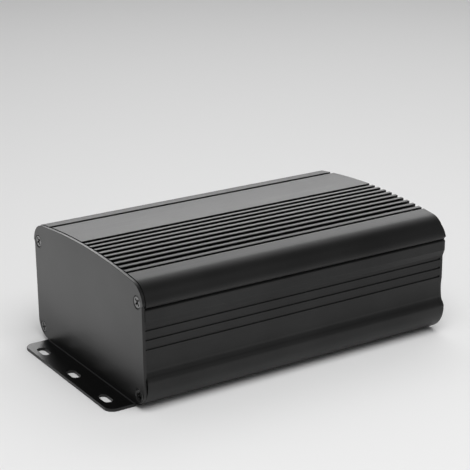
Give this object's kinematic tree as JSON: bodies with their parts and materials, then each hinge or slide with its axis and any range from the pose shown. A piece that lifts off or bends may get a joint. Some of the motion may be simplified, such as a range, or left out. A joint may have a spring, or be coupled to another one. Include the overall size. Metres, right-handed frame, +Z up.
{
  "type": "extruded aluminium enclosure",
  "caption": "Split enclosure of black anodised extrusions with a grooved crowned roof, a bent front plate with a slotted mounting ear and a plain rear cover, closed by screws.",
  "frame": {"origin": "centre of the footprint of the whole part, from the ear's front edge to the rear cover's face, on the plane of the underside", "axes": "+Z up from the underside; +Y along the length, from the plate with the mounting ear to the rear cover; +X across the width, towards the side that carries the cooling grooves of the roof"},
  "size_m": [0.145, 0.2424, 0.084],
  "materials": {
    "anodised_shells": "satin black anodised extrusion, fine bead-blasted grain",
    "anodised_plates": "satin black anodised sheet with punched edges",
    "cover_screws": "black oxide steel, cross recess"
  },
  "bodies": {
    "root": {"upper_shell": "anodised_shells", "lower_shell": "anodised_shells", "ear_plate": "anodised_plates", "rear_cover": "anodised_plates", "front_screw_upper_left": "cover_screws", "front_screw_upper_right": "cover_screws", "front_screw_lower_left": "cover_screws", "front_screw_lower_right": "cover_screws", "rear_screw_upper_left": "cover_screws", "rear_screw_upper_right": "cover_screws", "rear_screw_lower_left": "cover_screws", "rear_screw_lower_right": "cover_screws"}
  },
  "joints": []
}
